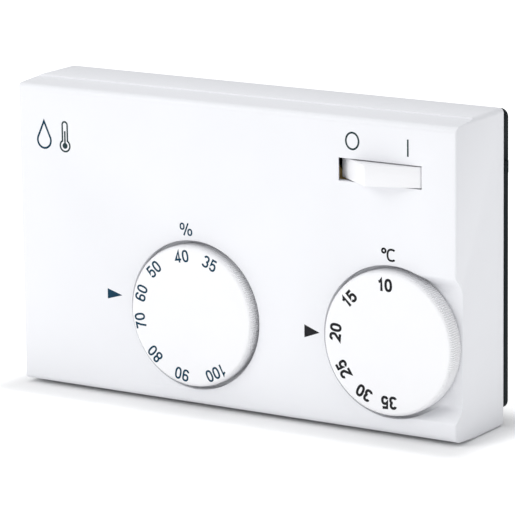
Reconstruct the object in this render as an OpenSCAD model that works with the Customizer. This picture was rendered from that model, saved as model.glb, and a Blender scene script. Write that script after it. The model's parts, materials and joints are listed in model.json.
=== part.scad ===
// Surface-mounted room controller with a humidity dial, a temperature dial and an on/off rocker.
// World frame: X to the right, Y into the wall, Z up. The origin is the middle of the wall face.
// Every sub-part is drawn in "plan": x to the right, y up the wall, z out of the wall, and then stood up.

/* [Housing] */
// Width of the cover
cover_w = 125.5; // [125:0.5:130]
// Height of the cover
cover_h = 78; // [77:0.5:80]
// Distance from the wall to the front face
front_z = 26; // [26:0.5:28]
// Visible thickness of the base behind the cover
base_t = 3.2; // [3:0.1:3.6]
// Wall thickness of the cover
wall = 2; // [1.8:0.1:2.2]
// Radius of the top and bottom front edges
edge_r = 1.6; // [1.4:0.1:2.4]
// Radius of the left and right front edges
side_r = 0.6; // [0.5:0.1:1.2]
// Depth of the tapered front band of the cover
band_d = 9; // [8:0.5:10]
// Amount by which the band is lower than the rear of the cover
band_drop = 1; // [0.6:0.1:1.2]

/* [Dials] */
// Radius of each dial
dial_r = 17.7; // [17.4:0.1:17.8]
// Height of the dial faces above the front face
dial_lift = 2; // [1.5:0.1:2.5]
// Depth of the round pocket that each dial sits in
pocket_d = 3; // [2.8:0.1:3.2]
// Gap between a dial and the wall of its pocket
pocket_gap = 1; // [0.8:0.1:1]
// Horizontal place of the humidity dial
hum_x = -10.8; // [-11:0.1:-10.5]
// Horizontal place of the temperature dial
temp_x = 45; // [44.8:0.1:45]
// Vertical place of both dials
dial_y = -15.4; // [-15.5:0.1:-15]

/* [Travel] */
// Clockwise travel of the humidity dial in degrees
hum_cw = 123; // [100:1:123]
// Anticlockwise travel of the humidity dial in degrees
hum_ccw = 105; // [90:1:105]
// Clockwise travel of the temperature dial in degrees
temp_cw = 88; // [80:1:88]
// Anticlockwise travel of the temperature dial in degrees
temp_ccw = 86; // [80:1:86]
// Rise of the humidity cam per radian
hum_rise = 0.75; // [0.6:0.05:0.8]
// Rise of the temperature cam per radian
temp_rise = 0.8; // [0.6:0.05:0.8]

/* [Rocker] */
// Width of the rocker slot
slot_w = 22.8; // [22.6:0.1:23]
// Height of the rocker slot
slot_h = 5.6; // [5.6:0.1:5.8]
// Horizontal place of the rocker
rocker_x = 42.1; // [41.9:0.1:42.3]
// Vertical place of the rocker
rocker_y = 25.2; // [24.8:0.1:25.3]
// Lean of the rocker to either side in degrees
rocker_tilt = 8; // [7:0.5:8]

/* [Terminals] */
// Number of poles in the terminal block
poles = 8; // [6:1:8]
// Distance between poles
pole_pitch = 6.4; // [6.2:0.1:6.5]

/* [Hidden] */
$fn = 48;
nothing = 0.01;             // overshoot of a cut
pocket_r = dial_r + pocket_gap;
pocket_z = front_z - pocket_d;
pocket_floor = 2;           // thickness of the cover under a pocket
floor_t = 2;                // thickness of the base floor
base_inset = 0.5;           // step in from the cover's sides to the base
base_top = cover_h / 2 - 0.7;
base_bottom = -cover_h / 2 + 3.7;
base_corner = 2;
rim_top_z = 7;              // height of the rim that locates the cover
rim_t = 1.5;
rim_gap = 0.3;
scoop_top = 17.7;           // top of the scoop above the dial's axis
scoop_floor = 14.2;         // depth below the dial's axis at which its floor ends
spindle_r = 2.9;
journal_r = 2;
run_gap = 0.06;             // radial clearance of a shaft in its bore
boss_z = 9;                 // top of the spindle bosses
lever_z = 9.9;              // underside of the levers
lever_t = 2;
cam_z = 9.4;
cam_t = 3;
cam_r = 7.5;                // cam radius under the nose at rest
cam_spare = 12;             // cam angle past each end of travel
nose_r = 1.5;
nose_gap = 0.3;
hum_arm = 18;
temp_arm = 16;
pin_r = 1.2;
ring_in = 6.6;
ring_out = 11;
ring_t = 0.6;
stop_r = 12.2;              // radius at which the stop pin runs
stop_pin_r = 0.6;
stop_spare = 8.2;           // angle between the pin and a ring lug at the end of travel
screw_at = [56, -24.5];     // cover screw, under the temperature dial
screw_z = pocket_z - 2.4;   // underside of its head
wire_hole = [42, 10.5];
wire_at = [-14, 13.25];     // middle of the wiring opening
box_screws = 60;            // screw distance of a flush wall box
screw_slot = [8, 4.2];
hum_pivot = [hum_x - cam_r - nose_gap - nose_r, dial_y + hum_arm];
sensor_pivot = [-42, -20];
band_x = -54;
hook_y = -30;
temp_pivot = [temp_x - temp_arm, -4.2];
temp_nose = [temp_x, dial_y + cam_r + nose_gap + nose_r];
strip_y = 2;                // line of the bimetal strip
strip_end = 56;
block_at = [-40, 20];
block_size = [poles * pole_pitch + 1, 13, 12];
pivot_z = front_z - 7;      // height of the rocker's pin above the wall
crest = 11.3;               // distance from the pin to the rocker's ridge
rocker_r = 12.85;           // radius of the rocker's ends about the pin
rocker_slope = 27;
rocker_h = 5;
contact_z = pivot_z - 8.8;
stud_top = contact_z - 1;
well_z = contact_z - 2.2;   // floor of the switch's well
contact_tilt = 3.8;

function arc(c, r, a, b, n) = [for (i = [0:n]) c + r * [cos(a + (b - a) * i / n), sin(a + (b - a) * i / n)]];

// Stands a sub-part drawn in plan up against the wall
module plan() {
    rotate([90, 0, 0]) children();
}

// Box from one corner to the other
module block(a, b) {
    translate(a) cube(b - a);
}

// Outline of a flat bar with slightly wider round ends
module bar(a, b, w) {
    d = b - a;
    translate(a) {
        rotate(atan2(d.y, d.x)) translate([0, -w / 2]) square([norm(d), w]);
        circle(d = w + 0.6);
    }
    translate(b) circle(d = w + 0.6);
}

// Rectangle with round corners, centred
module round_rect(w, h, r) {
    square([w - 2 * r, h], center = true);
    square([w, h - 2 * r], center = true);
    for (x = [-1, 1], y = [-1, 1]) translate([x * (w / 2 - r), y * (h / 2 - r)]) circle(r = r);
}

// Draws in the y-z plane of the plan and extrudes to the right from x0 to x1
module along_x(x0, x1) {
    translate([x0, 0, 0]) rotate([90, 0, 90]) linear_extrude(x1 - x0) children();
}

// Draws in the x-z plane of the plan and extrudes upward from y0 to y1
module along_y(y0, y1) {
    translate([0, y1, 0]) rotate([90, 0, 0]) linear_extrude(y1 - y0) children();
}

// Wire helix along +x from the origin, as one closed tube
module helix(len, r, wire, turns, steps = 16, sides = 8) {
    n = turns * steps;
    rings = [for (i = [0:n])
        let (a = 360 * i / steps, radial = [0, cos(a), sin(a)], p = [len * i / n, 0, 0] + r * radial)
        for (s = [0:sides - 1])
            let (b = 360 * s / sides) p + wire * (cos(b) * radial + sin(b) * [1, 0, 0])];
    faces = concat(
        [[for (s = [0:sides - 1]) s]],
        [for (i = [0:n - 1], s = [0:sides - 1])
            let (a = i * sides + s, b = i * sides + (s + 1) % sides) [a, a + sides, b + sides, b]],
        [[for (s = [sides - 1:-1:0]) n * sides + s]]);
    polyhedron(points = rings, faces = faces, convexity = 6);
}

// ---------- cover ----------

// Half of the cover's side outline, from the back edge over the shoulder to the front face
function side_half() = concat(
    [[cover_h / 2, base_t], [cover_h / 2, front_z - band_d]],
    arc([cover_h / 2 - 0.4, front_z - band_d], 0.4, 30, 90, 3),
    arc([cover_h / 2 - band_drop - edge_r, front_z - edge_r], edge_r, 0, 90, 8));

module cover_solid() {
    right = side_half();
    left = [for (i = [len(right) - 1:-1:0]) [-right[i].x, right[i].y]];
    intersection() {
        along_x(-cover_w / 2, cover_w / 2) polygon(concat(right, left));
        along_y(-cover_h / 2, cover_h / 2) polygon(concat(
            [[-cover_w / 2, base_t], [cover_w / 2, base_t]],
            arc([cover_w / 2 - side_r, front_z - side_r], side_r, 0, 90, 5),
            arc([-cover_w / 2 + side_r, front_z - side_r], side_r, 90, 180, 5)));
        translate([0, 0, base_t]) linear_extrude(front_z - base_t) round_rect(cover_w, cover_h, 1.2);
    }
}

// Finger scoop that opens the temperature pocket to the right-hand side, as deep as the pocket.
// Both of its ends slope at 45 degrees between two roundings.
module scoop() {
    drop = pocket_d - 1.2 * (1 - cos(45)) - 4 * (1 - cos(45));
    top = dial_y + scoop_top;
    turn = top - 5.2 * sin(45) - drop;
    low = dial_y - scoop_floor;
    rise = pocket_d - (2 + 0.8) * (1 - cos(45));
    end = low - (2 + 0.8) * sin(45) - rise;
    along_x(temp_x, cover_w / 2 + 1) polygon(concat(
        [[end, front_z + 1], [top, front_z + 1]],
        arc([top, front_z - 1.2], 1.2, 90, 135, 5),
        arc([turn, pocket_z + 4], 4, -45, -90, 8),
        arc([low, pocket_z + 2], 2, -90, -135, 5),
        arc([end, front_z - 0.8], 0.8, 45, 90, 4)));
}

module rocker_slot() {
    half = slot_w / 2;
    flare = 1.6;
    translate([rocker_x, 0, 0])
        along_y(rocker_y - slot_h / 2, rocker_y + slot_h / 2) polygon([
            [-half, front_z + 1], [-half, front_z - 0.3], [-half - flare, front_z - wall - 1],
            [half + flare, front_z - wall - 1], [half, front_z - 0.3], [half, front_z + 1]]);
}

module pocket_cup(x) {
    translate([x, dial_y, pocket_z - pocket_floor])
        cylinder(r = pocket_r + 1.8, h = front_z - pocket_z + pocket_floor - 1, $fn = 120);
}

// Collar that the limit rings turn on, with the spindle's hole
module ring_collar(x) {
    translate([x, dial_y, pocket_z - nothing]) difference() {
        cylinder(r = ring_in - 0.1, h = 1.4);
        translate([0, 0, -1]) cylinder(r = 5.2, h = 4);
    }
}

module front_cover() {
    color("white") plan() difference() {
        intersection() {
            cover_solid();
            union() {
                difference() {
                    block([-cover_w, -cover_h, 0], [cover_w, cover_h, front_z + 1]);
                    block([-cover_w / 2 + wall, -cover_h / 2 + wall, 0],
                        [cover_w / 2 - wall, cover_h / 2 - wall, front_z - wall]);
                }
                pocket_cup(hum_x);
                pocket_cup(temp_x);
                block([temp_x, dial_y - pocket_r - 2, pocket_z - wall],
                    [cover_w / 2, dial_y + pocket_r + 2, front_z - wall]);
                translate([screw_at.x, screw_at.y, screw_z - 1.9]) cylinder(r = 4.6, h = 3);
                for (x = [-35, 35])
                    block([x - 4, cover_h / 2 - wall - 1.2, 4.5], [x + 4, cover_h / 2 - wall, 5.5]);
            }
        }
        for (x = [hum_x, temp_x]) {
            translate([x, dial_y, pocket_z]) cylinder(r = pocket_r, h = 6, $fn = 120);
            translate([x, dial_y, 10]) cylinder(r = spindle_r + 0.5, h = 20);
        }
        scoop();
        rocker_slot();
        translate([screw_at.x, screw_at.y, screw_z]) cylinder(r = 3, h = 5);
        translate([screw_at.x, screw_at.y, 10]) cylinder(r = 1.7, h = 20);
        for (i = [-6:6]) block([i * 8 - 1.25, -cover_h / 2 - 1, 8], [i * 8 + 1.25, -cover_h / 2 + wall + 1, 19]);
    }
    color("white") plan() {
        ring_collar(hum_x);
        ring_collar(temp_x);
    }
}

module cover_screw() {
    color("silver") plan() translate([screw_at.x, screw_at.y, 0]) difference() {
        union() {
            translate([0, 0, screw_z]) cylinder(r = 2.6, h = 1.8);
            translate([0, 0, 10]) cylinder(r = 1.45, h = screw_z - 9.9);
        }
        translate([-2, -0.35, screw_z + 1]) cube([4, 0.7, 2]);
        translate([-0.35, -2, screw_z + 1]) cube([0.7, 4, 2]);
    }
}

// ---------- base ----------

// Post with a blind hole
module post(at, r, top, bore, bottom) {
    translate([at.x, at.y, floor_t - nothing]) difference() {
        cylinder(r = r, h = top - floor_t + nothing);
        translate([0, 0, bottom - floor_t]) cylinder(r = bore, h = top);
    }
}

module base_plate() {
    w = cover_w - 2 * base_inset;
    h = base_top - base_bottom;
    mid = (base_top + base_bottom) / 2;
    rim_w = cover_w - 2 * wall - 2 * rim_gap;
    rim_h = cover_h / 2 - wall - rim_gap - base_bottom - 1.3;
    rim_mid = cover_h / 2 - wall - rim_gap - rim_h / 2;
    color("darkslategray") plan() {
        difference() {
            union() {
                translate([0, mid, 0]) linear_extrude(floor_t) round_rect(w, h, base_corner);
                translate([0, mid, 0]) linear_extrude(base_t) difference() {
                    round_rect(w, h, base_corner);
                    square([w - 7, h - 7], center = true);
                }
                translate([0, rim_mid, base_t - nothing]) linear_extrude(rim_top_z - base_t) difference() {
                    round_rect(rim_w, rim_h, 1);
                    square([rim_w - 2 * rim_t, rim_h - 2 * rim_t], center = true);
                }
                translate([wire_at.x, wire_at.y, 0]) linear_extrude(base_t)
                    round_rect(wire_hole.x + 2.4, wire_hole.y + 2.4, 1.5);
            }
            translate([wire_at.x, wire_at.y, -1]) linear_extrude(10) round_rect(wire_hole.x, wire_hole.y, 1);
            for (s = [-1, 1]) translate([wire_at.x + s * box_screws / 2, 0, -1]) linear_extrude(6) {
                square([screw_slot.x - screw_slot.y, screw_slot.y], center = true);
                for (e = [-1, 1]) translate([e * (screw_slot.x - screw_slot.y) / 2, 0]) circle(d = screw_slot.y);
            }
            for (x = [-35, 35]) block([x - 4.6, 30, 4.1], [x + 4.6, 40, 6]);
        }
        for (x = [hum_x, temp_x]) post([x, dial_y], 4.2, boss_z, journal_r + run_gap, floor_t + 0.5);
        for (at = [hum_pivot, sensor_pivot, temp_pivot]) post(at, 2.6, lever_z - 0.2, pin_r + nothing, floor_t + 1);
        post(screw_at, 3.2, screw_z - 2, 1.5, floor_t + 1);
        block([cover_w / 2 - base_inset - nothing, 23, 0.6], [cover_w / 2 - 0.1, 26, 2.6]);
        for (y = [22, -2]) block([band_x - 4, y - 1, floor_t - nothing], [band_x + 4, y + 1, 7.6]);
    }
}

// ---------- terminals ----------

function pole_x(i) = block_at.x + 0.5 + pole_pitch * (i + 0.5);

module terminal_block() {
    well_y = block_at.y + 6.5;
    color("gray") plan() difference() {
        block([block_at.x, block_at.y, floor_t], [block_at.x, block_at.y, floor_t] + block_size);
        for (i = [0:poles - 1]) {
            translate([pole_x(i), well_y, 9]) cylinder(r = 2.3, h = 10);
            block([pole_x(i) - 2.5, block_at.y - 1, 4], [pole_x(i) + 2.5, well_y + 3, 9.01]);
        }
    }
}

module terminal_clamps() {
    well_y = block_at.y + 6.5;
    color("gold") plan() for (i = [0:poles - 1]) difference() {
        block([pole_x(i) - 2.3, well_y - 2.6, 4.05], [pole_x(i) + 2.3, well_y + 2.6, 8.9]);
        block([pole_x(i) - 1.6, well_y - 3, 4.8], [pole_x(i) + 1.6, well_y + 3, 7.4]);
        translate([pole_x(i), well_y, 4]) cylinder(r = 1.3, h = 8);
    }
}

module terminal_screws() {
    well_y = block_at.y + 6.5;
    color("silver") plan() for (i = [0:poles - 1]) translate([pole_x(i), well_y, 0]) difference() {
        union() {
            translate([0, 0, 6]) cylinder(r = 1.25, h = 5);
            translate([0, 0, 10.4]) cylinder(r = 2, h = 2);
        }
        translate([-2.5, -0.3, 11.6]) cube([5, 0.6, 2]);
    }
}

// Brass strip on the base floor that follows a list of points
module floor_strip(points) {
    translate([0, 0, floor_t + 0.05]) linear_extrude(0.6)
        for (i = [0:len(points) - 2]) bar(points[i], points[i + 1], 3);
}

module strip_load() {
    color("goldenrod") plan() floor_strip([[-38.4, 17.8], [-38.4, -4.5]]);
}

module strip_supply() {
    color("goldenrod") plan() floor_strip([[14.4, 26], [27.6, 26]]);
}

module strip_heat() {
    color("goldenrod") plan() floor_strip([[14.4, 21], [19, 15.5], [54, 15.5], [54, 11.5]]);
}

// ---------- dials ----------

// Underside is hollow for the limit rings, and the hub takes the spindle
module dial(x, pin_angle) {
    top = front_z + dial_lift;
    low = pocket_z + 0.3;
    bevel = 0.9;
    translate([x, dial_y, 0]) {
        difference() {
            rotate_extrude($fn = 120) polygon([[0, low], [dial_r, low], [dial_r, top - bevel],
                [dial_r - bevel, top], [0, top]]);
            translate([0, 0, low - 1]) difference() {
                cylinder(r = dial_r - 2, h = top - 1.6 - low + 1);
                translate([0, 0, -1]) cylinder(r = 4.5, h = 9);
            }
            translate([0, 0, low - 1]) difference() {
                cylinder(r = spindle_r + 0.02, h = top - 1.6 - low + 1);
                block([2, -4, -1], [4, 4, 9]);
            }
        }
        rotate(pin_angle) translate([stop_r, 0, low + 0.1]) cylinder(r = stop_pin_r, h = top - 1.6 - low);
    }
}

module spindle(x) {
    translate([x, dial_y, 0]) difference() {
        union() {
            translate([0, 0, floor_t + 0.6]) cylinder(r = journal_r, h = boss_z - floor_t);
            translate([0, 0, boss_z + 0.1]) cylinder(r = spindle_r, h = front_z + 0.3 - boss_z);
        }
        block([1.95, -4, pocket_z - 0.5], [4, 4, front_z + 1]);
    }
}

// Spiral cam whose radius under the nose falls by rise for each radian of anticlockwise turn
module cam(x, nose_angle, cw, ccw, rise) {
    lo = -ccw - cam_spare;
    hi = cw + cam_spare;
    gap = 360 - (hi - lo);
    r_lo = cam_r + rise * lo * PI / 180;
    r_hi = cam_r + rise * hi * PI / 180;
    spiral = [for (a = [lo:3:hi]) (cam_r + rise * a * PI / 180) * [cos(a), sin(a)]];
    back = [for (i = [0:12]) let (a = hi + gap * i / 12) (r_hi + (r_lo - r_hi) * i / 12) * [cos(a), sin(a)]];
    translate([x, dial_y, cam_z]) rotate(nose_angle) difference() {
        linear_extrude(cam_t) polygon(concat(spiral, back));
        translate([0, 0, -1]) cylinder(r = spindle_r + 0.01, h = cam_t + 2);
    }
}

// Thin ring with a lug that stops the dial's pin
module limit_ring(x, level, lug_angle) {
    translate([x, dial_y, pocket_z + 0.05 + level * (ring_t + 0.1)]) {
        difference() {
            cylinder(r = ring_out, h = ring_t);
            translate([0, 0, -1]) cylinder(r = ring_in, h = 3);
        }
        rotate(lug_angle) difference() {
            block([ring_out - 0.3, -1, 0], [stop_r + 1, 1, ring_t]);
            translate([0, 0, -1]) cylinder(r = ring_out - 0.2, h = 3);
        }
    }
}

hum_pin_angle = 0;
temp_pin_angle = 0;

module humidity_dial() {
    color("white") plan() dial(hum_x, hum_pin_angle);
}

module humidity_spindle() {
    color("ivory") plan() spindle(hum_x);
}

module humidity_cam() {
    color("ivory") plan() cam(hum_x, 180, hum_cw, hum_ccw, hum_rise);
}

module humidity_min_ring() {
    color("royalblue") plan() limit_ring(hum_x, 0, hum_pin_angle + hum_ccw + stop_spare);
}

module humidity_max_ring() {
    color("firebrick") plan() limit_ring(hum_x, 1, hum_pin_angle - hum_cw - stop_spare);
}

module temperature_dial() {
    color("white") plan() dial(temp_x, temp_pin_angle);
}

module temperature_spindle() {
    color("ivory") plan() spindle(temp_x);
}

module temperature_cam() {
    color("ivory") plan() cam(temp_x, 90, temp_cw, temp_ccw, temp_rise);
}

module temperature_min_ring() {
    color("royalblue") plan() limit_ring(temp_x, 0, temp_pin_angle + temp_ccw + stop_spare);
}

module temperature_max_ring() {
    color("firebrick") plan() limit_ring(temp_x, 1, temp_pin_angle - temp_cw - stop_spare);
}

// ---------- humidity sensing ----------

// Headed steel pin that a lever swings on
module lever_pin(at) {
    translate([at.x, at.y, floor_t + 1.1]) cylinder(r = pin_r, h = lever_z + lever_t - floor_t - 1);
    translate([at.x, at.y, lever_z + lever_t + 0.05]) cylinder(r = 2, h = 0.6);
}

module lever_bore(at) {
    translate([at.x, at.y, lever_z - 1]) cylinder(r = pin_r + run_gap, h = lever_t + 2);
}

module humidity_lever() {
    nose = [hum_pivot.x, dial_y];
    foot = [hum_pivot.x - 0.9, hook_y];
    color("khaki") plan() difference() {
        translate([0, 0, lever_z]) {
            linear_extrude(lever_t) {
                translate(hum_pivot) circle(r = 3);
                bar(hum_pivot - [0.9, 0], foot, 2.6);
                translate(nose) circle(r = nose_r);
            }
            translate([foot.x, foot.y, 0]) cylinder(r = 0.7, h = lever_t + 1.8);
        }
        lever_bore(hum_pivot);
    }
}

module humidity_lever_pin() {
    color("silver") plan() lever_pin(hum_pivot);
}

// Moisture-sensitive textile band, stretched between the anchor and the sensor lever
module humidity_band() {
    color("wheat") plan() block([band_x - 0.25, -18.2, 8], [band_x + 0.25, 23.9, 14]);
}

module band_anchor() {
    color("silver") plan() difference() {
        union() {
            block([band_x - 3, 24, 7.8], [band_x + 3, 27, 14.2]);
            block([band_x - 4, 29, floor_t + 0.02], [band_x + 4, 31, 14.2]);
            block([band_x - 4, 25, floor_t + 0.02], [band_x + 4, 30, floor_t + 1]);
        }
        translate([band_x, 40, 11]) rotate([90, 0, 0]) cylinder(r = 1.5, h = 15);
    }
}

module band_trim_screw() {
    color("gold") plan() translate([band_x, 34, 11]) rotate([90, 0, 0]) difference() {
        union() {
            cylinder(r = 1.4, h = 8.6);
            cylinder(r = 2.6, h = 1.6);
        }
        block([-3, -0.35, -1], [3, 0.35, 0.7]);
    }
}

module band_lower_clip() {
    color("silver") plan() block([band_x - 1.5, -22, lever_z + lever_t + 0.02], [band_x + 1.5, -18.6, 14.4]);
}

module sensor_lever() {
    tip = [-29.5, sensor_pivot.y];
    foot = [sensor_pivot.x, hook_y];
    color("khaki") plan() difference() {
        translate([0, 0, lever_z]) {
            linear_extrude(lever_t) {
                bar([band_x, sensor_pivot.y], tip, 2.6);
                bar(sensor_pivot, foot, 2.6);
                translate(sensor_pivot) circle(r = 3);
            }
            translate([foot.x, foot.y, 0]) cylinder(r = 0.7, h = lever_t + 1.8);
        }
        lever_bore(sensor_pivot);
    }
}

module sensor_lever_pin() {
    color("silver") plan() lever_pin(sensor_pivot);
}

// Extension spring whose end turns are held on screwed-in plugs with eyes
eye_z = lever_z + lever_t + 0.6;
eye_lead = 2.6;
spring_left = sensor_pivot.x;
spring_right = hum_pivot.x - 0.9;

module tension_spring() {
    color("silver") plan() translate([spring_left + eye_lead, hook_y, eye_z])
        helix(spring_right - spring_left - 2 * eye_lead, 1.5, 0.28, 12);
}

module spring_eye(x, way) {
    translate([x, hook_y, eye_z]) rotate([0, way * 90, 0]) {
        translate([0, 0, 1.2]) cylinder(r = 0.3, h = eye_lead - 1.1);
        translate([0, 0, eye_lead]) cylinder(r = 1.05, h = 2);
    }
    translate([x, hook_y, eye_z]) rotate_extrude() translate([1.05, 0]) circle(r = 0.28);
}

module spring_eye_left() {
    color("silver") plan() spring_eye(spring_left, 1);
}

module spring_eye_right() {
    color("silver") plan() spring_eye(spring_right, -1);
}

module microswitch_body() {
    color("black") plan() difference() {
        block([-47, -16.4, 6.6], [-27.2, -6.6, 13]);
        for (x = [-44, -33]) translate([x, -9, 5]) cylinder(r = 1.1, h = 10);
        translate([-31, -14, 9.8]) rotate([90, 0, 0]) cylinder(r = 1.15, h = 4);
    }
    color("black") plan() for (x = [-44, -33]) {
        translate([x, -9, floor_t + 0.02]) cylinder(r = 2, h = 4.5);
        translate([x, -9, 6.5]) cylinder(r = 1.05, h = 6.2);
    }
}

module microswitch_plunger() {
    color("red") plan() translate([-31, -14.9, 9.8]) rotate([90, 0, 0]) cylinder(r = 1, h = 3.6);
}

module microswitch_terminals() {
    color("gold") plan() for (x = [-45, -38.5, -30])
        block([x - 1.4, -6.58, 9.5], [x + 1.4, -2.6, 10]);
}

// ---------- temperature sensing ----------

module bimetal_carrier() {
    color("khaki") plan() difference() {
        translate([0, 0, lever_z]) linear_extrude(lever_t) {
            translate(temp_pivot) circle(r = 3);
            translate([temp_pivot.x, temp_pivot.y - 1.2]) square([temp_arm + 2.4, 2.4]);
            translate([temp_pivot.x - 4, temp_pivot.y]) square([3.4, strip_y - temp_pivot.y + 2.2]);
            translate(temp_nose) circle(r = nose_r);
        }
        lever_bore(temp_pivot);
    }
}

module bimetal_carrier_pin() {
    color("silver") plan() lever_pin(temp_pivot);
}

module bimetal_clamp() {
    color("gold") plan() difference() {
        block([25.2, strip_y - 2, lever_z + lever_t + 0.02], [28.8, strip_y + 2, 18.2]);
        block([26.4, strip_y - 0.45, 12.5], [30, strip_y + 0.45, 20]);
    }
}

module bimetal_strip() {
    color("peru") plan() {
        block([26.6, strip_y - 0.4, 12.6], [strip_end, strip_y, 17.8]);
        block([26.6, strip_y, 12.6], [strip_end, strip_y + 0.4, 17.8]);
    }
}

module moving_contact() {
    color("silver") plan() {
        translate([54, strip_y + 0.41, 15.2]) rotate([-90, 0, 0]) cylinder(r = 1.2, h = 0.9);
        block([48.5, strip_y + 0.41, 13.4], [51.5, strip_y + 1.1, 17]);
    }
}

module contact_bracket() {
    color("goldenrod") plan() {
        block([47.5, 8.6, floor_t + 0.02], [56.5, 9.6, 17.6]);
        block([49, 9.5, floor_t + 0.7], [55, 12, floor_t + 1.4]);
    }
}

module fixed_contact() {
    color("silver") plan() translate([54, 8.58, 15.2]) rotate([90, 0, 0]) cylinder(r = 1.2, h = 1.6);
}

module contact_magnet() {
    color("dimgray") plan() block([48.2, 6.8, 12.8], [51.8, 8.58, 17]);
}

module feedback_resistor() {
    y = 6.5;
    color("saddlebrown") plan() {
        translate([34, y, 7]) rotate([0, 90, 0]) cylinder(r = 1.3, h = 6.5);
        for (s = [[31.7, 2.4], [40.4, 2.4]]) translate([s[0], y, 7]) rotate([0, 90, 0]) cylinder(r = 0.3, h = s[1]);
        for (x = [31.9, 42.6]) translate([x, y, floor_t + 0.1]) cylinder(r = 0.3, h = 5.2);
    }
}

// ---------- rocker switch ----------

module switch_body() {
    color("dimgray") plan() translate([rocker_x, rocker_y, 0]) {
        difference() {
            block([-12.5, -4.75, floor_t + 0.02], [12.5, 4.75, pivot_z - 3.6]);
            block([-9.3, -2.9, well_z], [9.3, 2.9, pivot_z]);
        }
        difference() {
            for (s = [-1, 1]) block([-4, s * 4.15 - 0.6, pivot_z - 3.7], [4, s * 4.15 + 0.6, pivot_z + 2]);
            translate([0, 10, pivot_z]) rotate([90, 0, 0]) cylinder(r = 1.01, h = 20);
        }
    }
}

module switch_studs() {
    color("gold") plan() translate([rocker_x, rocker_y, 0]) {
        for (x = [-6.3, 6.3]) translate([x, 0, well_z + 0.02]) cylinder(r = 1.5, h = stud_top - well_z - 0.02);
        block([-0.3, -1.5, well_z + 0.02], [0.3, 1.5, contact_z - 0.7]);
    }
}

module switch_contact() {
    color("gold") plan() translate([rocker_x, rocker_y, contact_z]) rotate([0, contact_tilt, 0]) {
        block([-7.3, -1.5, -0.3], [7.3, 1.5, 0.3]);
        for (s = [-1, 1]) translate([0, s * 1.9 + 0.5, 0]) rotate([90, 0, 0]) cylinder(r = 0.6, h = 1);
        for (x = [-6.3, 6.3]) translate([x, 0, -0.45]) cylinder(r = 1, h = 0.2);
    }
}

module rocker_pin() {
    color("silver") plan() translate([rocker_x, rocker_y + 4.9, pivot_z]) rotate([90, 0, 0])
        cylinder(r = 1, h = 9.8);
}

// Ridge-backed button with round ends, hollow for the spring plunger
module rocker_button() {
    run = 14;
    color("white") plan() translate([rocker_x, rocker_y, pivot_z]) rotate([0, -rocker_tilt, 0]) difference() {
        union() {
            intersection() {
                translate([0, rocker_h / 2, 0]) rotate([90, 0, 0]) cylinder(r = rocker_r, h = rocker_h, $fn = 96);
                along_y(-rocker_h / 2, rocker_h / 2) polygon([[-run, -1.4], [run, -1.4],
                    [run, crest - run * tan(rocker_slope)], [0, crest], [-run, crest - run * tan(rocker_slope)]]);
            }
            translate([0, 0, -6]) cylinder(r = 1.9, h = 6);
        }
        translate([0, 5, 0]) rotate([90, 0, 0]) cylinder(r = 1 + run_gap, h = 10);
        translate([0, 0, -7]) cylinder(r = 1.1, h = 5.2);
    }
}

module rocker_plunger() {
    color("ivory") plan() translate([rocker_x, rocker_y, pivot_z]) rotate([0, -rocker_tilt, 0]) {
        translate([0, 0, -7.4]) cylinder(r = 1, h = 2.2);
        translate([0, 0, -7.4]) sphere(r = 1);
    }
}

module rocker_spring() {
    color("silver") plan() translate([rocker_x, rocker_y, pivot_z]) rotate([0, -rocker_tilt, 0])
        translate([0, 0, -4.95]) rotate([0, -90, 0]) helix(2.8, 0.7, 0.18, 5, 12, 6);
}

base_plate();
front_cover();
cover_screw();
terminal_block();
terminal_screws();
terminal_clamps();
strip_load();
strip_supply();
strip_heat();
humidity_dial();
humidity_spindle();
humidity_cam();
humidity_min_ring();
humidity_max_ring();
humidity_lever();
humidity_lever_pin();
humidity_band();
band_anchor();
band_trim_screw();
band_lower_clip();
sensor_lever();
sensor_lever_pin();
tension_spring();
spring_eye_left();
spring_eye_right();
microswitch_body();
microswitch_plunger();
microswitch_terminals();
temperature_dial();
temperature_spindle();
temperature_cam();
temperature_min_ring();
temperature_max_ring();
bimetal_carrier();
bimetal_carrier_pin();
bimetal_clamp();
bimetal_strip();
moving_contact();
contact_bracket();
fixed_contact();
contact_magnet();
feedback_resistor();
switch_body();
switch_studs();
switch_contact();
rocker_button();
rocker_pin();
rocker_plunger();
rocker_spring();
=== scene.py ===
import json
import math

import bmesh
import bpy
from mathutils import Matrix, Vector
from mathutils.geometry import delaunay_2d_cdt


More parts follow.
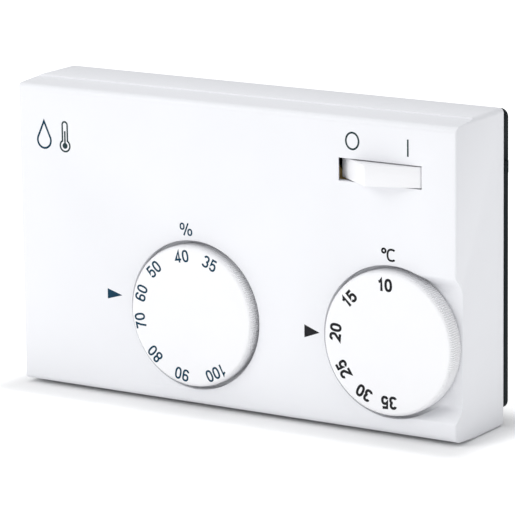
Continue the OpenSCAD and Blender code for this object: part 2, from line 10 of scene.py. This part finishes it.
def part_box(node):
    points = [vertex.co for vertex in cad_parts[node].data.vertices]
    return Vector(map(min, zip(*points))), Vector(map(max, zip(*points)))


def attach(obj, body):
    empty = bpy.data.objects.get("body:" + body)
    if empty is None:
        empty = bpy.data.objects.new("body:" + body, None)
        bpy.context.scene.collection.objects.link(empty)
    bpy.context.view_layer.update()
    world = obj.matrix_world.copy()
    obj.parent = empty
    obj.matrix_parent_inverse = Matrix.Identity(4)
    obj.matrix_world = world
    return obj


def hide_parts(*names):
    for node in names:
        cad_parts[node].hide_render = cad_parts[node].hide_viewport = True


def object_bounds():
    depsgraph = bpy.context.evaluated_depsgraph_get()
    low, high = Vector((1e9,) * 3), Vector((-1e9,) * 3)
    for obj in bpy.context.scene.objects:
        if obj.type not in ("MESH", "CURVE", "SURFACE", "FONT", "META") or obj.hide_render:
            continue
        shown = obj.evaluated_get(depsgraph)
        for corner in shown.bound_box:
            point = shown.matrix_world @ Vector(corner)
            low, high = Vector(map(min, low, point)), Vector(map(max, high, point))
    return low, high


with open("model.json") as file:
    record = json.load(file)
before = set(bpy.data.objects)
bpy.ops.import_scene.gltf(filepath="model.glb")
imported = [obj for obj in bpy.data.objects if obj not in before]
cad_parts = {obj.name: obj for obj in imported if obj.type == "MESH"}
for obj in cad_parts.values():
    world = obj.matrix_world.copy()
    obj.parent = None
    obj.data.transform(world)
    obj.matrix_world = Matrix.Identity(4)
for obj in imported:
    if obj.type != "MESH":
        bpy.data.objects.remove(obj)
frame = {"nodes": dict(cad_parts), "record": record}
cad_box = [list(v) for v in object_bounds()]
MM = 0.001
scene = bpy.context.scene
nodes = frame["nodes"]


# ---------- materials ----------

ROUGH_SWING = 0.06      # how far the gloss varies either way
GRAIN_DEPTH = 0.02 * MM


def material(name, color, rough, grain=0.0, grain_mm=0.25, mottle=0.03, mottle_mm=9.0, metal=0.0,
             specular=0.5, stretch=None):
    """Moulded or metal surface: a slow colour mottle, uneven gloss and a fine grain, all from solid noise."""
    m = bpy.data.materials.new(name)
    m.use_nodes = True
    t = m.node_tree
    t.nodes.clear()
    out = t.nodes.new("ShaderNodeOutputMaterial")
    b = t.nodes.new("ShaderNodeBsdfPrincipled")
    t.links.new(b.outputs["BSDF"], out.inputs["Surface"])
    b.inputs["Metallic"].default_value = metal
    b.inputs["Specular IOR Level"].default_value = specular
    where = t.nodes.new("ShaderNodeTexCoord").outputs["Object"]
    if stretch:
        s = t.nodes.new("ShaderNodeMapping")
        s.inputs["Scale"].default_value = stretch
        t.links.new(where, s.inputs["Vector"])
        where = s.outputs["Vector"]

    def noise(size_mm, detail):
        n = t.nodes.new("ShaderNodeTexNoise")
        n.inputs["Scale"].default_value = 1 / (size_mm * MM)
        n.inputs["Detail"].default_value = detail
        t.links.new(where, n.inputs["Vector"])
        return n.outputs["Fac"]

    ramp = t.nodes.new("ShaderNodeValToRGB")
    for e, k in ((0, 1 - mottle), (1, 1 + mottle)):
        ramp.color_ramp.elements[e].position = 0.3 + 0.4 * e
        ramp.color_ramp.elements[e].color = [min(1, c * k) for c in color] + [1]
    t.links.new(noise(mottle_mm, 3), ramp.inputs["Fac"])
    t.links.new(ramp.outputs["Color"], b.inputs["Base Color"])
    gloss = t.nodes.new("ShaderNodeMapRange")
    gloss.inputs["To Min"].default_value = max(0.03, rough - ROUGH_SWING)
    gloss.inputs["To Max"].default_value = min(1, rough + ROUGH_SWING)
    t.links.new(noise(mottle_mm * 0.35, 2), gloss.inputs["Value"])
    t.links.new(gloss.outputs["Result"], b.inputs["Roughness"])
    if grain:
        bump = t.nodes.new("ShaderNodeBump")
        bump.inputs["Strength"].default_value = grain
        bump.inputs["Distance"].default_value = GRAIN_DEPTH
        t.links.new(noise(grain_mm, 2), bump.inputs["Height"])
        t.links.new(bump.outputs["Normal"], b.inputs["Normal"])
    return m


# One finish for each material slot: colour, roughness and what differs from a plain moulding
FINISHES = {
    "white_cover": ((0.80, 0.805, 0.83), 0.46, dict(grain=0.25, grain_mm=0.22, mottle=0.006, mottle_mm=14)),
    "white_dial": ((0.835, 0.835, 0.85), 0.38, dict(grain=0.1, grain_mm=0.3, mottle=0.005)),
    "dark_base": ((0.001, 0.005, 0.007), 0.55, dict(grain=0.3, grain_mm=0.2, mottle=0.2, specular=0.05)),
    "ivory_nylon": ((0.72, 0.68, 0.56), 0.5, dict(mottle=0.03)),
    "tan_lever": ((0.55, 0.44, 0.24), 0.5, dict(grain=0.3, mottle=0.05)),
    "grey_block": ((0.12, 0.125, 0.135), 0.5, dict(grain=0.4, mottle=0.06)),
    "black_switch": ((0.012, 0.012, 0.013), 0.3, dict(mottle=0.15)),
    "red_plastic": ((0.5, 0.02, 0.015), 0.35, dict(mottle=0.04)),
    "blue_plastic": ((0.02, 0.06, 0.4), 0.35, dict(mottle=0.04)),
    "steel": ((0.55, 0.55, 0.57), 0.32, dict(metal=1, grain=0.3, mottle=0.05, stretch=(1, 1, 8))),
    "brass": ((0.72, 0.5, 0.2), 0.3, dict(metal=1, grain=0.2, mottle=0.08)),
    "silver_contact": ((0.85, 0.84, 0.82), 0.22, dict(metal=1, mottle=0.04)),
    "bimetal": ((0.55, 0.38, 0.27), 0.36, dict(metal=1, grain=0.3, mottle=0.08, stretch=(0.1, 1, 1))),
    "ferrite": ((0.03, 0.03, 0.033), 0.7, dict(grain=0.8, mottle=0.2)),
    "textile_band": ((0.7, 0.62, 0.42), 0.85, dict(grain=1, grain_mm=0.4, mottle=0.12, stretch=(1, 1, 0.2))),
    "resistor_brown": ((0.16, 0.05, 0.02), 0.3, dict(mottle=0.1)),
}
MATS = {name: material(name, color, rough, **rest) for name, (color, rough, rest) in FINISHES.items()}
PRINT_BLUE = material("print_blue", (0.004, 0.04, 0.075), 0.7, specular=0.15, mottle=0.12, mottle_mm=1.5)
PRINT_GREY = material("print_grey", (0.012, 0.012, 0.014), 0.7, specular=0.15, mottle=0.15, mottle_mm=1.5)
PRINT_GREEN = material("print_green", (0.02, 0.04, 0.045), 0.7, specular=0.15, mottle=0.15, mottle_mm=1.5)


# ---------- geometry helpers ----------

def smooth_by_angle(degrees):
    """Node group that shades smooth, apart from edges sharper than this."""
    name = "smooth_below_%d" % degrees
    if name in bpy.data.node_groups:
        return bpy.data.node_groups[name]
    g = bpy.data.node_groups.new(name, "GeometryNodeTree")
    g.interface.new_socket("Geometry", in_out="INPUT", socket_type="NodeSocketGeometry")
    g.interface.new_socket("Geometry", in_out="OUTPUT", socket_type="NodeSocketGeometry")
    i, o = g.nodes.new("NodeGroupInput"), g.nodes.new("NodeGroupOutput")
    faces, edges = (g.nodes.new("GeometryNodeSetShadeSmooth") for _ in range(2))
    edges.domain = "EDGE"
    edges.inputs["Shade Smooth"].default_value = False
    angle = g.nodes.new("GeometryNodeInputMeshEdgeAngle")
    sharp = g.nodes.new("FunctionNodeCompare")
    sharp.data_type = "FLOAT"
    sharp.operation = "GREATER_THAN"
    sharp.inputs["B"].default_value = math.radians(degrees)
    g.links.new(i.outputs[0], faces.inputs["Geometry"])
    g.links.new(faces.outputs[0], edges.inputs["Geometry"])
    g.links.new(angle.outputs["Unsigned Angle"], sharp.inputs["A"])
    g.links.new(sharp.outputs["Result"], edges.inputs["Selection"])
    g.links.new(edges.outputs[0], o.inputs[0])
    return g


WELD_GAP = 0.004 * MM
SHARP_DEGREES = 32      # edges of the CAD nodes sharper than this are broken or stay sharp
DIAL_SHARP_DEGREES = 42


def finish_edges(obj, bevel_mm, segments):
    """Welds the imported corners together, breaks the sharp edges and shades the rest smooth."""
    if "custom_normal" in obj.data.attributes:
        obj.data.attributes.remove(obj.data.attributes["custom_normal"])
    weld = obj.modifiers.new("weld", "WELD")
    weld.merge_threshold = WELD_GAP
    if bevel_mm:
        b = obj.modifiers.new("edges", "BEVEL")
        b.width = bevel_mm * MM
        b.segments = segments
        b.limit_method = "ANGLE"
        b.angle_limit = math.radians(SHARP_DEGREES)
        b.use_clamp_overlap = True
    s = obj.modifiers.new("smooth", "NODES")
    s.node_group = smooth_by_angle(SHARP_DEGREES)


def mesh_object(name, bm, mat, body):
    me = bpy.data.meshes.new(name)
    bm.to_mesh(me)
    bm.free()
    o = bpy.data.objects.new(name, me)
    scene.collection.objects.link(o)
    me.materials.append(mat)
    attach(o, body)
    return o


# ---------- dials ----------

RIBS = 200
STEPS_PER_RIB = 6
RIB_DEPTH = 0.2


def turned(name, x, z, profile, mat, body):
    """Ribbed solid of revolution about Y at (x, z).

    The profile is (radius, height above the wall, rib depth), in mm.
    """
    n = RIBS * STEPS_PER_RIB
    bm = bmesh.new()
    rings = []
    for r, h, d in profile:
        if r == 0:
            rings.append([bm.verts.new((x, -h * MM, z))])
            continue
        ring = []
        for k in range(n):
            a = 2 * math.pi * k / n
            wave = 0.5 - 0.5 * math.cos(2 * math.pi * k / STEPS_PER_RIB)
            rr = (r - d * wave) * MM
            ring.append(bm.verts.new((x + rr * math.cos(a), -h * MM, z + rr * math.sin(a))))
        rings.append(ring)
    for a, b in zip(rings, rings[1:]):
        for k in range(n):
            q = [a[k % len(a)], a[(k + 1) % len(a)], b[(k + 1) % len(b)], b[k % len(b)]]
            q = [v for i, v in enumerate(q) if v not in q[:i]]
            if len(q) > 2:
                bm.faces.new(q)
    bmesh.ops.recalc_face_normals(bm, faces=bm.faces)
    for f in bm.faces:
        f.smooth = True
    o = mesh_object(name, bm, mat, body)
    s = o.modifiers.new("smooth", "NODES")
    s.node_group = smooth_by_angle(DIAL_SHARP_DEGREES)
    return o


def dial(name, node, body):
    """Ribbed dial in place of the plain CAD one; gives the middle of its box and the height of its face."""
    lo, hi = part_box(node)
    c = (lo + hi) / 2
    r = (hi.x - lo.x) / 2 / MM
    top, low = -lo.y / MM, -hi.y / MM
    edge = 1.05         # rounding between the face and the rim
    foot = 0.35         # chamfer at the foot of the rim
    roof = top - 1.7    # underside of the face
    socket = top - 1.55     # bottom of the hole for the spindle
    profile = [(0, top, 0), (r - 4, top, 0), (r - edge - 0.5, top, 0)]
    for k in range(8):
        a = math.radians(90 - 90 * k / 7)
        depth = RIB_DEPTH * min(1, k / 4) if k > 1 else 0
        profile.append((r - edge + edge * math.cos(a), top - edge + edge * math.sin(a), depth))
    profile += [(r, top - 2.2, RIB_DEPTH), (r, low + foot, RIB_DEPTH), (r - foot, low, 0), (r - 1.9, low, 0),
                (r - 2, roof, 0), (4.6, roof, 0), (4.5, low, 0), (3.0, low, 0), (2.95, socket, 0),
                (0, socket, 0)]
    o = turned(name, c.x, c.z, profile, MATS["white_dial"], body)
    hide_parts(node)
    return c, top


# ---------- printed marks ----------

def loop(cx, cy, rx, ry, a=0, b=360, n=28, k=0.82):
    """Points on part of a rounded oval, squarer for a lower k. Angles run anticlockwise from the right."""
    out = []
    for i in range(n + 1):
        t = math.radians(a + (b - a) * i / n)
        c, s = math.cos(t), math.sin(t)
        out.append((cx + rx * math.copysign(abs(c) ** k, c), cy + ry * math.copysign(abs(s) ** k, s)))
    return out


# Strokes of each character, in a cell 1 high; widths are in the same unit
GLYPHS = {
    "0": [loop(0, 0.5, 0.235, 0.435)],
    "1": [[(-0.17, 0.74), (-0.02, 0.80), (0.06, 0.93), (0.06, 0.0)]],
    "2": [loop(0, 0.665, 0.225, 0.27, 172, -28, 20) + [(-0.235, 0.065), (0.27, 0.065)]],
    "3": [loop(-0.005, 0.705, 0.21, 0.23, 165, -82, 20), loop(0, 0.275, 0.235, 0.215, 84, -165, 20)],
    "4": [[(0.29, 0.245), (-0.25, 0.245), (0.10, 0.93), (0.10, 0.0)]],
    "5": [[(0.23, 0.935), (-0.17, 0.935), (-0.215, 0.47)] + loop(0, 0.335, 0.225, 0.27, 138, -160, 20)],
    "6": [loop(0, 0.3, 0.225, 0.235), loop(0.01, 0.64, 0.235, 0.295, 20, 180, 16) + [(-0.225, 0.3)]],
    "7": [[(-0.25, 0.935), (0.24, 0.935), (0.07, 0.55), (-0.04, 0.0)]],
    "8": [loop(0, 0.715, 0.195, 0.22), loop(0, 0.27, 0.23, 0.215)],
    "%": [loop(-0.36, 0.71, 0.17, 0.225), loop(0.36, 0.29, 0.17, 0.225), [(-0.2, 0.0), (0.2, 1.0)]],
    "o": [loop(0, 0.8, 0.16, 0.16, k=1)],
    "C": [loop(0, 0.5, 0.36, 0.435, 48, 312, 26)],
}
GLYPHS["9"] = [[(-x, 1 - y) for x, y in s] for s in GLYPHS["6"]]
ADVANCE = {"1": 0.62, "%": 1.1, "o": 0.54, "C": 0.84}


def ribbon(points, w, closed):
    """Quads of a stroke of width w along the points, with mitred corners."""
    p = [Vector(q) for q in points]
    if closed:
        p = p[:-1]
    n = len(p)
    sides = []
    for i in range(n):
        before = p[i] - p[i - 1] if closed or i else p[1] - p[0]
        after = p[(i + 1) % n] - p[i] if closed or i < n - 1 else p[i] - p[i - 1]
        a, b = before.normalized(), after.normalized()
        m = (a + b).normalized() if (a + b).length > 1e-6 else a
        side = Vector((-m.y, m.x))
        stretch = min(2.4, 1 / max(0.3, side.dot(Vector((-a.y, a.x)))))
        sides.append((p[i] + side * w / 2 * stretch, p[i] - side * w / 2 * stretch))
    spans = range(n if closed else n - 1)
    return [[sides[i][0], sides[i][1], sides[(i + 1) % n][1], sides[(i + 1) % n][0]] for i in spans]


def inside(p, polygon):
    """Even-odd test of a point against a polygon."""
    hit = False
    for a, b in zip(polygon, polygon[1:] + polygon[:1]):
        if (a[1] > p[1]) != (b[1] > p[1]) and p[0] < a[0] + (p[1] - a[1]) * (b[0] - a[0]) / (b[1] - a[1]):
            hit = not hit
    return hit


INK_TOP, INK_LOW = 0.03, -0.01      # faces of a printed plate above and below the surface, in mm


def plate(name, polygons, place, mat, body):
    """Merges flat polygons, in mm, into one thin printed plate.

    place maps (x, y, height) to the row frame.
    """
    verts, faces = [], []
    for q in polygons:
        area = sum(q[i - 1][0] * q[i][1] - q[i][0] * q[i - 1][1] for i in range(len(q)))
        q = q if area > 0 else q[::-1]
        faces.append(list(range(len(verts), len(verts) + len(q))))
        verts += [Vector((v[0], v[1])) for v in q]
    v2, _, f2, _, _, _ = delaunay_2d_cdt(verts, [], faces, 1, 1e-5)
    middles = [sum((v2[i] for i in f), Vector((0, 0))) / len(f) for f in f2]
    f2 = [f for f, middle in zip(f2, middles) if any(inside(middle, q) for q in polygons)]
    bm = bmesh.new()
    top = [bm.verts.new(place(v.x, v.y, INK_TOP)) for v in v2]
    low = [bm.verts.new(place(v.x, v.y, INK_LOW)) for v in v2]
    edges = {}
    for f in f2:
        bm.faces.new([top[i] for i in f])
        bm.faces.new([low[i] for i in reversed(f)])
        for i in range(len(f)):
            edges[(f[i], f[(i + 1) % len(f)])] = True
    for a, b in edges:
        if (b, a) not in edges:
            bm.faces.new([top[b], top[a], low[a], low[b]])
    bmesh.ops.delete(bm, geom=[v for v in bm.verts if not v.link_faces], context="VERTS")
    bmesh.ops.recalc_face_normals(bm, faces=bm.faces)
    return mesh_object(name, bm, mat, body)


def word_polygons(text, height, weight, narrow=1.0):
    """Polygons of a word whose middle is at the origin."""
    steps = [ADVANCE.get(c, 0.74) for c in text]
    x = -sum(steps) / 2
    out = []
    for c, step in zip(text, steps):
        for s in GLYPHS[c]:
            closed = (Vector(s[0]) - Vector(s[-1])).length < 1e-4
            line = [((x + step / 2 + px) * height * narrow, (py - 0.5) * height) for px, py in s]
            out += ribbon(line, weight, closed)
        x += step
    return out


FACE_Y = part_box("front_cover")[0].y


def on_cover(x0, z0):
    """Place for a mark on the front face: its middle at (x0, z0), in mm."""
    return lambda x, y, h: ((x0 + x) * MM, FACE_Y - h * MM, (z0 + y) * MM)


def on_dial(c, top, radius, angle):
    """Place for a word on a dial: its middle at this radius and angle, its top outward."""
    turn = math.radians(angle - 90)
    x0 = c.x / MM + radius * math.cos(math.radians(angle))
    z0 = c.z / MM + radius * math.sin(math.radians(angle))
    cs, sn = math.cos(turn), math.sin(turn)
    return lambda x, y, h: ((x0 + cs * x - sn * y) * MM, -(top + h) * MM, (z0 + sn * x + cs * y) * MM)


def bow(radius, y, half_angle, n):
    """Points round the underside of a circle about (0, y), from its right-hand end to its left-hand end."""
    turns = [half_angle - 2 * half_angle * i / n for i in range(n + 1)]
    return [(radius * math.sin(t), y - radius * math.cos(t)) for t in turns]


hum_c, hum_top = dial("humidity_dial_knurled", "humidity_dial", "humidity_knob")
temp_c, temp_top = dial("temperature_dial_knurled", "temperature_dial", "temperature_knob")

# Angle of each number on its dial, anticlockwise from the right
HUM = {"35": 67.5, "40": 99, "50": 134.5, "60": 163.3, "70": 190.6, "80": 225, "90": 259.2, "100": 298}
TEMP = {"10": 92, "15": 136.4, "20": 175, "25": 212.2, "30": 243.4, "35": 272}
HUM_RADIUS, TEMP_RADIUS = 15.1, 14.3
for word, angle in HUM.items():
    plate("humidity_number_" + word, word_polygons(word, 3.0, 0.48, 0.98),
          on_dial(hum_c, hum_top, HUM_RADIUS, angle), PRINT_BLUE, "humidity_knob")
for word, angle in TEMP.items():
    plate("temperature_number_" + word, word_polygons(word, 2.95, 0.66, 1.04),
          on_dial(temp_c, temp_top, TEMP_RADIUS, angle), PRINT_GREY, "temperature_knob")

BULB_Y = -2.1           # middle of the thermometer's bulb
TUBE_TOP = 3.2          # height at which its tube ends in a half circle
TUBE_R = 0.75
drop = [(0, 3.6)] + bow(2.0, -1.2, 2.1, 24)
cap = [(TUBE_R * math.cos(t), TUBE_TOP + TUBE_R * math.sin(t))
       for t in [math.pi - math.pi * i / 10 for i in range(1, 10)]]
outline = ([(TUBE_R, TUBE_TOP), (TUBE_R, -0.9)] + bow(1.45, BULB_Y, 2.55, 22)
           + [(-TUBE_R, -0.9), (-TUBE_R, TUBE_TOP)] + cap)
column = [(-0.22, -1.6), (0.22, -1.6), (0.22, 1.6), (-0.22, 1.6)]
blob = [(TUBE_R * math.cos(t), BULB_Y + TUBE_R * math.sin(t))
        for t in [2 * math.pi * i / 20 for i in range(20)]]
COVER_MARKS = (
    ("pointer_humidity", [[(-2.2, 1.3), (-2.2, -1.3), (2.2, 0)]], (-34.55, -12.9), PRINT_BLUE),
    ("pointer_temperature", [[(-2.15, 1.6), (-2.15, -1.6), (2.15, 0)]], (22.9, -15.5), PRINT_GREY),
    ("unit_percent", word_polygons("%", 3.1, 0.4), (-13.05, 5.9), PRINT_BLUE),
    ("unit_degrees", word_polygons("oC", 3.1, 0.5), (44.4, 5.8), PRINT_GREY),
    ("mark_off", ribbon(loop(0, 0, 1.75, 2.0, n=48, k=1), 0.46, True), (34.6, 32.3), PRINT_GREEN),
    ("mark_on", [[(-0.21, -2.05), (0.21, -2.05), (0.21, 2.05), (-0.21, 2.05)]], (49.8, 32.0), PRINT_GREEN),
    ("symbol_drop", ribbon(drop + [drop[0]], 0.5, True), (-55.0, 25.4), PRINT_BLUE),
    ("symbol_thermometer", ribbon(outline + [outline[0]], 0.42, True) + [column, blob], (-48.7, 25.4),
     PRINT_GREEN),
)
for name, polygons, at, ink in COVER_MARKS:
    plate(name, polygons, on_cover(*at), ink, "housing")

# ---------- finishes of the CAD nodes ----------

BEVELS = {"front_cover": 0.22, "base_plate": 0.3, "rocker_button": 0.5, "terminal_block": 0.2}     # mm
SLOTS = {part["node"]: part["material_slot"] for part in frame["record"]["subparts"]}
for name, obj in nodes.items():
    if name in ("humidity_dial", "temperature_dial"):
        continue
    obj.data.materials.clear()
    obj.data.materials.append(MATS[SLOTS[name]])
    finish_edges(obj, BEVELS.get(name, 0), 3 if name == "rocker_button" else 2)

# ---------- stage ----------

def light(name, at, size, power):
    """Square white area light aimed at the origin."""
    d = bpy.data.lights.new(name, "AREA")
    d.shape = "RECTANGLE"
    d.size = d.size_y = size
    d.energy = power
    o = bpy.data.objects.new(name, d)
    scene.collection.objects.link(o)
    o.location = at
    o.rotation_euler = (-Vector(at)).to_track_quat("-Z", "Y").to_euler()


def floor_glow_with_painted_shadow():
    """White table that glows away from the object; the glow fades out near its foot, which paints a contact
    shadow round it.
    """
    m = bpy.data.materials.new("floor_white_painted_shadow")
    m.use_nodes = True
    t = m.node_tree
    b = t.nodes["Principled BSDF"]
    b.inputs["Base Color"].default_value = (0.9, 0.9, 0.9, 1)
    b.inputs["Roughness"].default_value = 0.9
    b.inputs["Emission Color"].default_value = (1, 1, 1, 1)
    half = Vector(cad_box[1]) / 2 - Vector(cad_box[0]) / 2
    middle = Vector(cad_box[1]) / 2 + Vector(cad_box[0]) / 2
    where = t.nodes.new("ShaderNodeTexCoord").outputs["Object"]
    # Distance from the object's rectangle on the floor, which sets the painted contact shadow
    for operation, value in (("SUBTRACT", (middle.x, middle.y, 0)), ("ABSOLUTE", None),
                             ("SUBTRACT", (half.x, half.y, 0)), ("MAXIMUM", (0, 0, 0))):
        v = t.nodes.new("ShaderNodeVectorMath")
        v.operation = operation
        t.links.new(where, v.inputs[0])
        if value:
            v.inputs[1].default_value = value
        where = v.outputs[0]
    distance = t.nodes.new("ShaderNodeVectorMath")
    distance.operation = "LENGTH"
    t.links.new(where, distance.inputs[0])
    # Emission rises from none at the object's foot to full strength further out: a painted contact shadow on
    # the floor
    glow_with_painted_shadow = t.nodes.new("ShaderNodeMapRange")
    glow_with_painted_shadow.interpolation_type = "SMOOTHSTEP"
    glow_with_painted_shadow.inputs["From Max"].default_value = PAINTED_SHADOW_REACH
    glow_with_painted_shadow.inputs["To Max"].default_value = GLOW_STRENGTH
    t.links.new(distance.outputs["Value"], glow_with_painted_shadow.inputs["Value"])
    t.links.new(glow_with_painted_shadow.outputs["Result"], b.inputs["Emission Strength"])
    return m


FLOOR_HALF = 6          # metres from the middle to an edge of the floor
# how far out from the object the painted contact shadow on the floor reaches
PAINTED_SHADOW_REACH = 14 * MM
GLOW_STRENGTH = 0.45
bm = bmesh.new()
bmesh.ops.create_grid(bm, x_segments=8, y_segments=8, size=FLOOR_HALF)
me = bpy.data.meshes.new("floor")
bm.to_mesh(me)
bm.free()
me.materials.append(floor_glow_with_painted_shadow())
floor = bpy.data.objects.new("floor", me)
scene.collection.objects.link(floor)
floor.location = (0, 0, cad_box[0][2])

world = bpy.data.worlds.new("studio")
world.use_nodes = True
bg = world.node_tree.nodes["Background"]
bg.inputs["Color"].default_value = (0.97, 0.98, 1.0, 1)
bg.inputs["Strength"].default_value = 0.57
scene.world = world
light("key", (-1.1, -1.5, 1.3), 1.2, 18)
light("top", (0.0, 0.1, 1.6), 1.4, 8)

# ---------- camera ----------

AZIMUTH, ELEVATION, ROLL = (math.radians(d) for d in (32.73, 12.72, -0.76))
DISTANCE = 925.6 * MM
AIM = Vector((0.6, -15.1, -1.8)) * MM
LENS = 264.0
flat = math.cos(ELEVATION)
back = Vector((math.sin(AZIMUTH) * flat, -math.cos(AZIMUTH) * flat, math.sin(ELEVATION)))
data = bpy.data.cameras.new("camera")
data.lens, data.sensor_width = LENS, 36
data.clip_start, data.clip_end = 0.05, 50
camera = bpy.data.objects.new("camera", data)
scene.collection.objects.link(camera)
facing = (-back).to_track_quat("-Z", "Y").to_matrix().to_4x4()
camera.matrix_world = Matrix.Translation(AIM + back * DISTANCE) @ facing @ Matrix.Rotation(ROLL, 4, "Z")
scene.camera = camera
scene.view_settings.view_transform = "Standard"

bpy.context.view_layer.update()
